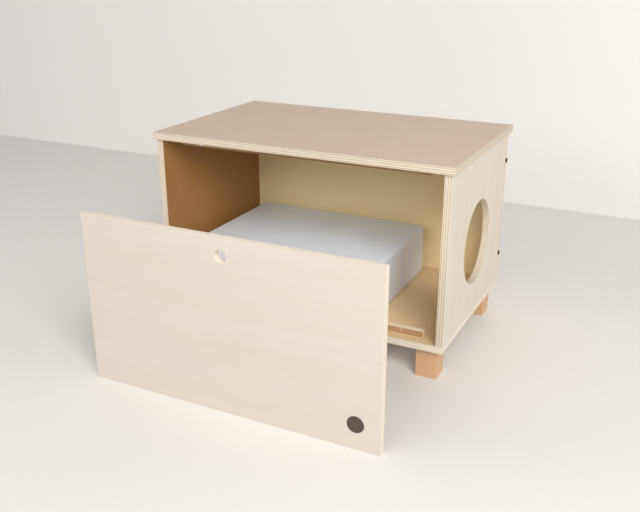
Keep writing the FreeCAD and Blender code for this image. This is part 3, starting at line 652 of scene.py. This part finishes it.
def moulded_shell(node, corner, closed_edge, closed_at_top):
    """A thin-walled box with rounded corners in the place of a node, open below or above."""
    low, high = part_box(node)
    middle = (low + high) / 2
    size = high - low
    bpy.ops.object.select_all(action="DESELECT")
    bpy.ops.mesh.primitive_cube_add(size=1, location=middle, scale=size)
    shell = bpy.context.object
    settle(shell)
    closed_height, open_height = (high.z, low.z) if closed_at_top else (low.z, high.z)

    def at_height(height):
        return lambda part: all(abs(vertex.co.z - height) < SAME_HEIGHT for vertex in part.verts)

    def in_closed_half(edge):
        return all((vertex.co.z > middle.z) == closed_at_top for vertex in edge.verts)

    def on_rim(edge):
        """An edge between the rim's flat face and one side of the wall."""
        flat = at_height(open_height)
        return flat(edge) and {flat(face) for face in edge.link_faces} == {True, False}

    bpy.ops.object.mode_set(mode="EDIT")
    choose(shell, "EDGE", lambda edge: abs(edge.verts[0].co.z - edge.verts[1].co.z) > size.z / 2)
    bpy.ops.mesh.bevel(offset=corner, segments=CORNER_STEPS, profile=0.5)
    choose(shell, "FACE", at_height(open_height))
    bpy.ops.mesh.delete(type="FACE")
    choose(shell, "EDGE", at_height(closed_height))
    bpy.ops.mesh.bevel(offset=closed_edge, segments=EDGE_STEPS, profile=0.5)
    choose(shell, "EDGE", in_closed_half)
    narrower = (1 - 2 * DRAFT / size.x, 1 - 2 * DRAFT / size.y, 1)
    bpy.ops.transform.resize(value=narrower, center_override=middle)
    bpy.ops.object.mode_set(mode="OBJECT")
    modify(shell, "SOLIDIFY", thickness=WALL, offset=-1, use_even_offset=True)
    bpy.ops.object.mode_set(mode="EDIT")
    choose(shell, "EDGE", on_rim)
    bpy.ops.mesh.bevel(offset=RIM_ROUNDING, segments=RIM_STEPS, profile=0.5)
    bpy.ops.object.mode_set(mode="OBJECT")
    return shell


# %% [markdown]
# Inside the cover, four short ribs rest on the tray's rim and keep the cover off the cabinet's floor. They
# are bars with eased edges, one in the middle of each wall. Each bar's back reaches a little into the wall,
# which looks the same as a rib drawn out of it and is simpler.

# %% Tray cover
RIB_SIZE = Vector((6, 30, 7)) * MM
RIB_EASE = 0.6 * MM
RIB_STEPS = 2
RIB_BITE = 0.5 * MM  # how far a rib reaches into the wall
RIM_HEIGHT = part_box("litter_tray")[1].z
COVER_CORNER = 20 * MM
COVER_EDGE = 14 * MM
cover = moulded_shell("litter_tray_cover", COVER_CORNER, COVER_EDGE, closed_at_top=True)
cover_low, cover_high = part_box("litter_tray_cover")
cover_middle = (cover_low + cover_high) / 2
ribs = []
for side in range(4):
    bpy.ops.object.select_all(action="DESELECT")
    bpy.ops.mesh.primitive_cube_add(size=1, scale=RIB_SIZE)
    rib = bpy.context.object
    settle(rib)
    bpy.ops.object.mode_set(mode="EDIT")
    bpy.ops.mesh.bevel(offset=RIB_EASE, segments=RIB_STEPS, profile=0.5)
    bpy.ops.object.mode_set(mode="OBJECT")
    turn = side * math.pi / 2
    reach = (cover_high - cover_low)[side % 2] / 2 - WALL + RIB_BITE - RIB_SIZE.x / 2
    outward = Vector((math.cos(turn), math.sin(turn), 0))
    rib.rotation_euler.z = turn
    rib.location = Vector((cover_middle.x, cover_middle.y, RIM_HEIGHT + RIB_SIZE.z / 2)) + reach * outward
    settle(rib)
    ribs.append(rib)
cover = join([cover] + ribs)
hand_over(cover, "tray_cover", "litter_tray_cover", plastic)

# %% [markdown]
# The tray is the same kind of shell, turned open side up, so the same function makes it. It is hidden until
# the cover is lifted. Its foot has a smaller radius than the cover's top, as it has to stand firmly.

# %% Litter tray
TRAY_CORNER = 16 * MM
TRAY_FOOT = 5 * MM
pan = moulded_shell("litter_tray", TRAY_CORNER, TRAY_FOOT, closed_at_top=False)
hand_over(pan, "tray_pan", "litter_tray", plastic)

# %% [markdown]
# ## Round pieces
# The badge, magnets, discs, screws, bolts and dowels are all turned shapes. An outline could be spun round an
# axis, but its poles would have to be closed afterwards. One helper draws the pieces out along their axis
# instead: a filled circle is extruded ring after ring, and each ring is scaled to its radius. An outline is
# the list of those rings as (height, radius) in millimetres, from the foot to the outer face. Another helper
# works out the middles of equal pieces from the box of the node that holds them all.

# %% Helpers for round pieces
def turned(outline, sides=48):
    """A round piece along +Z, its middle at the origin."""
    bpy.ops.object.select_all(action="DESELECT")
    half = max(height for height, radius in outline) / 2
    (height, radius), *rings = outline
    bpy.ops.mesh.primitive_circle_add(vertices=sides, radius=radius * MM, fill_type="NGON",
                                      location=(0, 0, (height - half) * MM))
    piece = bpy.context.object
    settle(piece)
    bpy.ops.object.mode_set(mode="EDIT")
    for next_height, next_radius in rings:
        bpy.ops.mesh.extrude_region_move(
            TRANSFORM_OT_translate={"value": (0, 0, (next_height - height) * MM)})
        growth = next_radius / radius
        bpy.ops.transform.resize(value=(growth, growth, 1), center_override=(0, 0, 0))
        height, radius = next_height, next_radius
    bpy.ops.mesh.select_all(action="SELECT")
    bpy.ops.mesh.normals_make_consistent(inside=False)
    bpy.ops.object.mode_set(mode="OBJECT")
    return piece


def spread(node, size, rows):
    """The middles of a node's equal pieces: size is one piece's, rows how many stand along X, Y and Z."""
    low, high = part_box(node)
    lines = []
    for axis in (X, Y, Z):
        if rows[axis] == 1:
            lines.append([(low[axis] + high[axis]) / 2])
            continue
        first = low[axis] + size[axis] * MM / 2
        step = (high[axis] - low[axis] - size[axis] * MM) / (rows[axis] - 1)
        lines.append([first + step * number for number in range(rows[axis])])
    return [Vector((x, y, z)) for x in lines[X] for y in lines[Y] for z in lines[Z]]


def repeat(piece, turn, middles):
    """Copies of a piece, turned and set on each middle, joined into one object."""
    piece.rotation_euler = [math.radians(angle) for angle in turn]
    settle(piece)
    copies = []
    for middle in middles:
        copy = piece.copy()
        copy.data = piece.data.copy()
        bpy.context.scene.collection.objects.link(copy)
        copy.location = middle
        settle(copy)
        copies.append(copy)
    bpy.data.objects.remove(piece)
    return join(copies)


FACING = {"up": (0, 0, 0), "down": (180, 0, 0), "front": (90, 0, 0), "rear": (-90, 0, 0),
          "right": (0, 90, 0), "left": (0, -90, 0)}

# %% [markdown]
# ## Badge, magnets and strike discs
# The badge is a thin disc let into the front panel, with softened rims and a fine lip round its plain face.
# A catch magnet is a plug whose bright core stands out of its cup as a low dome. The strike discs sit flush
# in the back of the front panel and are slightly dished.

# %% Badge, magnets and strike discs
BADGE_OUTLINE = [(0, 19.6), (0.12, 19.88), (0.4, 20), (1.1, 20), (1.38, 19.88), (1.5, 19.6),
                 (1.5, 19.0), (1.42, 18.8), (1.44, 12), (1.46, 5), (1.46, 1)]
MAGNET_OUTLINE = [(0, 3.9), (0.18, 4.32), (0.6, 4.5), (8.3, 4.5), (8.5, 4.4), (8.5, 3.9),
                  (8.9, 3.75), (9.35, 3.3), (9.7, 2.6), (9.9, 1.7), (10, 0.6)]
DISC_OUTLINE = [(0, 5.8), (0.2, 6), (1.8, 6), (1.95, 5.9), (2, 5.7), (2, 4.6), (1.85, 3.2), (1.8, 0.5)]

badge = repeat(turned(BADGE_OUTLINE, sides=128), FACING["front"],
               spread("panel_badge", (40, 1.5, 40), (1, 1, 1)))
hand_over(badge, "badge_disc", "panel_badge", badge_finish)
for height in ("upper", "lower"):
    node = height + "_catch_magnets"
    magnets = repeat(turned(MAGNET_OUTLINE, sides=64), FACING["front"], spread(node, (9, 10, 9), (2, 1, 1)))
    hand_over(magnets, height + "_magnets", node, magnet_plating_painted_highlight)
discs = repeat(turned(DISC_OUTLINE, sides=64), FACING["rear"],
               spread("strike_discs", (12, 2, 12), (2, 1, 2)))
hand_over(discs, "panel_strike_discs", "strike_discs", bright_steel)

# %% [markdown]
# ## Threads
# Screws and bolts carry a real thread, because a bump would leave their outline smooth. It is a small
# triangle, a circle of three sides stood upright, which the Screw modifier carries round and up. Its two ends
# are closed afterwards, so that it is a solid ridge.

# %% Thread
def thread(crest, ridge, pitch, low, high, steps=16):
    """A ridge wound from low to high round the Z axis, all in millimetres. ridge is how far it stands out."""
    reach = ridge / 1.5  # a circle of three sides is one and a half radii tall
    foot = 1.74 * reach  # and the square root of three radii wide, here with a hair to spare
    turns = int((high - low - foot) / pitch)
    bpy.ops.object.select_all(action="DESELECT")
    bpy.ops.mesh.primitive_circle_add(
        vertices=3, radius=reach * MM, fill_type="NOTHING", rotation=(math.pi / 2, math.pi / 2, 0),
        location=((crest - reach) * MM, 0, (low + foot / 2) * MM))
    ridge_line = bpy.context.object
    settle(ridge_line)
    modify(ridge_line, "SCREW", axis="Z", angle=2 * math.pi, screw_offset=pitch * MM, iterations=turns,
           steps=steps, render_steps=steps)
    bpy.ops.object.mode_set(mode="EDIT")
    bpy.ops.mesh.select_all(action="SELECT")
    bpy.ops.mesh.fill_holes(sides=3)
    bpy.ops.mesh.select_all(action="SELECT")
    bpy.ops.mesh.normals_make_consistent(inside=False)
    bpy.ops.object.mode_set(mode="OBJECT")
    return ridge_line


# %% [markdown]
# ## Wood screws
# A wood screw has a flat head that tapers into a plain neck, a threaded shank and a point. Its driver recess
# is a cross, cut by two tapered blades with a Boolean. The screws in the battens are smaller than the ones
# that go up through the bottom panel, so one function makes both. The numbers in it are shares of the head's
# width, the shank's width and the length.

# %% Wood screws
def cut(piece, tool):
    """Cut a tool's shape out of a piece, and take the tool away."""
    modify(piece, "BOOLEAN", operation="DIFFERENCE", object=tool, solver="EXACT")
    bpy.data.objects.remove(tool)


BLADE_TIP = (0.35, 0.7, 1)  # the tip's width and thickness, as shares of the blade's own


def driver_blade(span, thick, depth, face_height, turn):
    """One blade of the cross."""
    bpy.ops.object.select_all(action="DESELECT")
    bpy.ops.mesh.primitive_cube_add(size=1, location=(0, 0, face_height * MM),
                                    scale=(span * MM, thick * MM, 2 * depth * MM))
    blade = bpy.context.object
    settle(blade)
    bpy.ops.object.mode_set(mode="EDIT")
    choose(blade, "FACE", lambda face: face.normal.z < -0.9)
    bpy.ops.transform.resize(value=BLADE_TIP, center_override=(0, 0, 0))
    bpy.ops.object.mode_set(mode="OBJECT")
    blade.rotation_euler.z = math.radians(turn)
    settle(blade)
    return blade


def wood_screw(head, head_thick, shank, length):
    """A screw with its head up. length is without the head, all in millimetres."""
    whole = length + head_thick
    core = 0.36 * shank
    neck = 0.5 * shank
    point_end = 1.6 * shank
    thread_end = 0.64 * length
    piece = turned([(0, 0.1), (point_end, core), (0.62 * length, core), (thread_end, neck),
                    (length, neck), (whole - 0.9, 0.49 * head), (whole - 0.3, 0.5 * head),
                    (whole, 0.48 * head), (whole, 0.2 * head)], sides=32)
    face_height = whole / 2
    for turn in (0, 90):
        cut(piece, driver_blade(0.52 * head, 0.13 * head, 0.5 * head_thick, face_height, turn))
    ridge = thread(neck, neck - core, 0.5 * shank, 1.2 * shank - whole / 2, thread_end - whole / 2)
    return join([piece, ridge])


bottom_screw = wood_screw(head=10, head_thick=4, shank=5, length=50)
screws = repeat(bottom_screw, FACING["down"], spread("bottom_screws", (10, 10, 54), (2, 3, 1)))
hand_over(screws, "bottom_wood_screws", "bottom_screws", bright_steel)
for height, facing in (("upper", "down"), ("lower", "up")):
    node = height + "_batten_screws"
    batten_screw = wood_screw(head=8, head_thick=2.5, shank=4, length=25)
    screws = repeat(batten_screw, FACING[facing], spread(node, (8, 8, 27.5), (3, 1, 1)))
    hand_over(screws, height + "_batten_wood_screws", node, bright_steel)

# %% [markdown]
# ## Black bolts
# Two bolts on each side hold the back panel. Their low round heads have a six-sided socket and are the small
# black dots near the rear edge. The head's dome is drawn out in rings that follow a rounded curve, and a
# six-sided key cuts the socket.

# %% Black bolts
# All in millimetres.
HEAD_RADIUS = 7
HEAD_HEIGHT = 3
HEAD_RIM = 0.5  # how high the head's edge stands under its dome
DOME_STEPS = 8
DOME_CLIMB = math.radians(72)
SOCKET_RADIUS = 2
SOCKET_DEPTH = 1.8
SOCKET_INSET = 0.5  # the socket's floor goes down in its middle, as a drill leaves it
SOCKET_DIP = 0.4
BOLT_LENGTH = 50
THREAD_LENGTH = 34
THREAD_PITCH = 1.25
SHANK_RADIUS = 3.5
CORE_RADIUS = 2.75


def round_head_bolt():
    """A bolt with its head up and its middle at the origin."""
    dome = []
    for step in range(DOME_STEPS + 1):
        climb = step / DOME_STEPS * DOME_CLIMB
        height = (HEAD_HEIGHT - HEAD_RIM) * math.sin(climb) / math.sin(DOME_CLIMB)
        dome.append((BOLT_LENGTH + HEAD_RIM + height, HEAD_RADIUS * math.cos(climb) ** 0.6))
    whole = BOLT_LENGTH + HEAD_HEIGHT
    shank = [(0, 2.3), (0.9, CORE_RADIUS), (THREAD_LENGTH, CORE_RADIUS),
             (THREAD_LENGTH + 1, SHANK_RADIUS), (BOLT_LENGTH, SHANK_RADIUS)]
    edge = [(BOLT_LENGTH, HEAD_RADIUS - 0.2), (BOLT_LENGTH + 0.2, HEAD_RADIUS)]
    piece = turned(shank + edge + dome + [(whole, 2.6)])
    bpy.ops.object.select_all(action="DESELECT")
    bpy.ops.mesh.primitive_cylinder_add(vertices=6, radius=SOCKET_RADIUS * MM, depth=2 * SOCKET_DEPTH * MM,
                                        location=(0, 0, whole / 2 * MM))
    key = bpy.context.object
    settle(key)
    bpy.ops.object.mode_set(mode="EDIT")
    choose(key, "FACE", lambda face: face.normal.z < -0.9)
    bpy.ops.mesh.inset(thickness=SOCKET_INSET * MM)
    bpy.ops.transform.translate(value=(0, 0, -SOCKET_DIP * MM))
    bpy.ops.object.mode_set(mode="OBJECT")
    cut(piece, key)
    ridge = thread(SHANK_RADIUS, SHANK_RADIUS - CORE_RADIUS, THREAD_PITCH, low=0.4 - whole / 2,
                   high=THREAD_LENGTH + 0.5 - whole / 2)
    return join([piece, ridge])


for side in ("left", "right"):
    node = side + "_back_bolts"
    bolts = repeat(round_head_bolt(), FACING[side], spread(node, (53, 14, 14), (1, 1, 2)))
    hand_over(bolts, side + "_round_head_bolts", node, black_steel)

# %% [markdown]
# ## Legs' bolts and inserts
# Each leg screws on with a hanger bolt, a rod that is threaded over its whole length, and the bottom panel
# holds a threaded sleeve for it. The sleeve is turned solid, and a longer cylinder cuts its bore.

# %% Hanger bolts and inserts
BOLT_OUTLINE = [(0, 2.4), (1.2, 3.3), (41, 3.3), (42, 2.6)]
SLEEVE_OUTLINE = [(0, 5.3), (0.6, 5.7), (11.6, 5.7), (12, 5.3)]
BORE_RADIUS = 4.05
BORE_LENGTH = 20  # longer than the sleeve, so that it cuts right through
rod_thread = thread(crest=4, ridge=0.8, pitch=1.5, low=-20.6, high=20.4)
hanger_bolt = join([turned(BOLT_OUTLINE, sides=32), rod_thread])
bolts = repeat(hanger_bolt, FACING["up"], spread("leg_hanger_bolts", (8, 8, 42), (2, 2, 1)))
hand_over(bolts, "leg_bolts", "leg_hanger_bolts", bright_steel)

sleeve = turned(SLEEVE_OUTLINE)
bpy.ops.object.select_all(action="DESELECT")
bpy.ops.mesh.primitive_cylinder_add(vertices=48, radius=BORE_RADIUS * MM, depth=BORE_LENGTH * MM)
bore = bpy.context.object
cut(sleeve, bore)
sleeve = join([sleeve, thread(crest=6.5, ridge=1.0, pitch=2.5, low=-5.6, high=5.6, steps=32)])
inserts = repeat(sleeve, FACING["up"], spread("leg_threaded_inserts", (13, 13, 12), (2, 2, 1)))
hand_over(inserts, "leg_insert_sleeves", "leg_threaded_inserts", bright_steel)

# %% [markdown]
# ## Dowels
# Beech dowels are fluted, so that glue and air can escape from the hole. Every second of the long edges of a
# many-sided peg is pressed in a little, which makes all the flutes in one move.

# %% Fluted dowels
FLUTE_DEPTH = 0.25 * MM
PEG_EASE = 0.8  # millimetres that its two ends are chamfered


def fluted_dowel(width, length, sides=36):
    """An upright peg, its middle at the origin. width and length are in millimetres."""
    radius = width / 2

    def every_second_long_edge(edge):
        low_end, high_end = edge.verts
        number = round(math.atan2(low_end.co.y, low_end.co.x) * sides / (2 * math.pi))
        return abs(low_end.co.z - high_end.co.z) > length / 2 * MM and number % 2 == 0

    peg = turned([(0, radius - PEG_EASE), (PEG_EASE, radius), (length - PEG_EASE, radius),
                  (length, radius - PEG_EASE)], sides)
    bpy.ops.object.mode_set(mode="EDIT")
    choose(peg, "EDGE", every_second_long_edge)
    pressed = 1 - FLUTE_DEPTH / (radius * MM)
    bpy.ops.transform.resize(value=(pressed, pressed, 1), center_override=(0, 0, 0))
    bpy.ops.object.mode_set(mode="OBJECT")
    return peg


side_dowels = repeat(fluted_dowel(8, 30), FACING["up"], spread("side_top_dowels", (8, 8, 30), (2, 3, 1)))
hand_over(side_dowels, "side_dowels", "side_top_dowels", dowel_beech)
back_dowels = repeat(fluted_dowel(6, 30), FACING["up"], spread("back_panel_dowels", (6, 6, 30), (3, 1, 2)))
hand_over(back_dowels, "back_dowels", "back_panel_dowels", dowel_beech)

# %% [markdown]
# ## Floor and wall
# A pale floor meets a pale wall a little over a metre behind the cabinet. They are one bent sheet, so that no
# gap shows. The sheet is seen from inside only: from behind, its wall is clear, so that other views look
# through it. Far from the cabinet, where little light falls, the floor fades to the backdrop's pale colour.

# %% Floor and wall
WALL_Y = 1.47
ROOM_HALF = 9.0
WALL_HEIGHT = 6.0
BEND_RADIUS = 0.012
BEND_STEPS = 6
bpy.ops.object.select_all(action="DESELECT")
bpy.ops.mesh.primitive_plane_add(size=2 * ROOM_HALF, location=(0, WALL_Y - ROOM_HALF, 0))
room = bpy.context.object
room.name = "floor_and_wall"
settle(room)
bpy.ops.object.mode_set(mode="EDIT")
choose(room, "EDGE", lambda edge: all(abs(vertex.co.y - WALL_Y) < MM for vertex in edge.verts))
bpy.ops.mesh.extrude_region_move(TRANSFORM_OT_translate={"value": (0, 0, WALL_HEIGHT)})
choose(room, "EDGE", lambda edge: all(abs(vertex.co.y - WALL_Y) < MM and abs(vertex.co.z) < MM
                                      for vertex in edge.verts))
bpy.ops.mesh.bevel(offset=BEND_RADIUS, segments=BEND_STEPS, profile=0.5)
bpy.ops.object.mode_set(mode="OBJECT")

PAINT = (colour(232, 230, 227), colour(235, 233, 231))
BACKDROP = colour(234, 231, 228)
FADE_START = 3.1  # metres from under the cabinet's middle
FADE_END = 4.4
paint, tree, shader = new_material("pale_room")
place = add_node(tree, "ShaderNodeTexCoord").outputs["Object"]
feed(tree, shader.inputs["Base Color"], mix_colours(tree, noise(tree, place, 0.8), *PAINT))
shader.inputs["Roughness"].default_value = 0.75
shader.inputs["Specular IOR Level"].default_value = 0.2
from_middle = add_node(tree, "ShaderNodeVectorMath", operation="LENGTH")
feed(tree, from_middle.inputs[0], stretch(tree, place, (1, 1, 0)))
far_off = rise(tree, from_middle.outputs["Value"], FADE_START, FADE_END)
rays = add_node(tree, "ShaderNodeLightPath").outputs
seen = calculate(tree, "MAXIMUM", rays["Is Camera Ray"], rays["Is Glossy Ray"])
glow = add_node(tree, "ShaderNodeEmission")
glow.inputs["Color"].default_value = BACKDROP
faded = add_node(tree, "ShaderNodeMixShader")
feed(tree, faded.inputs[0], calculate(tree, "MULTIPLY", far_off, seen))
feed(tree, faded.inputs[1], shader.outputs[0])
feed(tree, faded.inputs[2], glow.outputs[0])
both = add_node(tree, "ShaderNodeMixShader")
feed(tree, both.inputs[0], add_node(tree, "ShaderNodeNewGeometry").outputs["Backfacing"])
feed(tree, both.inputs[1], faded.outputs[0])
feed(tree, both.inputs[2], add_node(tree, "ShaderNodeBsdfTransparent").outputs[0])
feed(tree, tree.nodes["Material Output"].inputs["Surface"], both.outputs[0])
room.data.materials.append(paint)
print("room faces:", len(room.data.polygons))

# %% [markdown]
# ## Light
# The picture is bright and nearly shadowless, like a room with a row of big windows. The sky is a soft band
# of light a little above eye height, all the way round, and three large lamps stand for the nearest
# windows. The one on the right is the strongest. Straight above there is nothing, as under a ceiling, so the
# inside of the cabinet keeps its depth.

# %% Lights
SKY_STRENGTH = 1.33
SKY_COLOUR = (1.0, 0.992, 0.982, 1.0)
SILL = (0.14, 0.24)  # heights on the sky, 0 at the horizon and 1 overhead, between which the light comes up
LINTEL = (0.28, 0.62)  # and between which it goes down again
LAMP_COLOUR = (1.0, 0.985, 0.96)
LAMP_AIM = Vector((0, 0, 0.3))
LAMPS = {  # place, width in metres, power in watts
    "front_window": (Vector((-0.4, -3.4, 2.2)), 2.6, 34),
    "right_window": (Vector((2.5, -2.8, 2.8)), 2.4, 160),
    "left_window": (Vector((-3.2, -2.4, 2.4)), 2.6, 29),
}

world = bpy.data.worlds.new("studio")
bpy.context.scene.world = world
world.use_nodes = True
tree = world.node_tree
direction = add_node(tree, "ShaderNodeSeparateXYZ")
feed(tree, direction.inputs[0], add_node(tree, "ShaderNodeTexCoord").outputs["Generated"])
over_sill = rise(tree, direction.outputs["Z"], *SILL)
under_lintel = rise(tree, direction.outputs["Z"], *LINTEL, 1, 0)
sky = tree.nodes["Background"]
sky.inputs["Color"].default_value = SKY_COLOUR
window_band = calculate(tree, "MULTIPLY", over_sill, under_lintel)
feed(tree, sky.inputs["Strength"], calculate(tree, "MULTIPLY", window_band, SKY_STRENGTH))
backdrop = add_node(tree, "ShaderNodeBackground")
backdrop.inputs["Color"].default_value = BACKDROP
ray = add_node(tree, "ShaderNodeLightPath").outputs["Is Camera Ray"]
chosen = add_node(tree, "ShaderNodeMixShader")
feed(tree, chosen.inputs[0], ray)
feed(tree, chosen.inputs[1], sky.outputs[0])
feed(tree, chosen.inputs[2], backdrop.outputs[0])
feed(tree, tree.nodes["World Output"].inputs["Surface"], chosen.outputs[0])

for name, (place, size, power) in LAMPS.items():
    bpy.ops.object.light_add(type="AREA", location=place)
    lamp = bpy.context.object
    lamp.name = name
    lamp.data.shape = "SQUARE"
    lamp.data.size = size
    lamp.data.energy = power
    lamp.data.color = LAMP_COLOUR
    lamp.rotation_euler = (LAMP_AIM - place).to_track_quat("-Z", "Y").to_euler()
bpy.context.scene.view_settings.view_transform = "Standard"
print("lamps:", len(LAMPS))
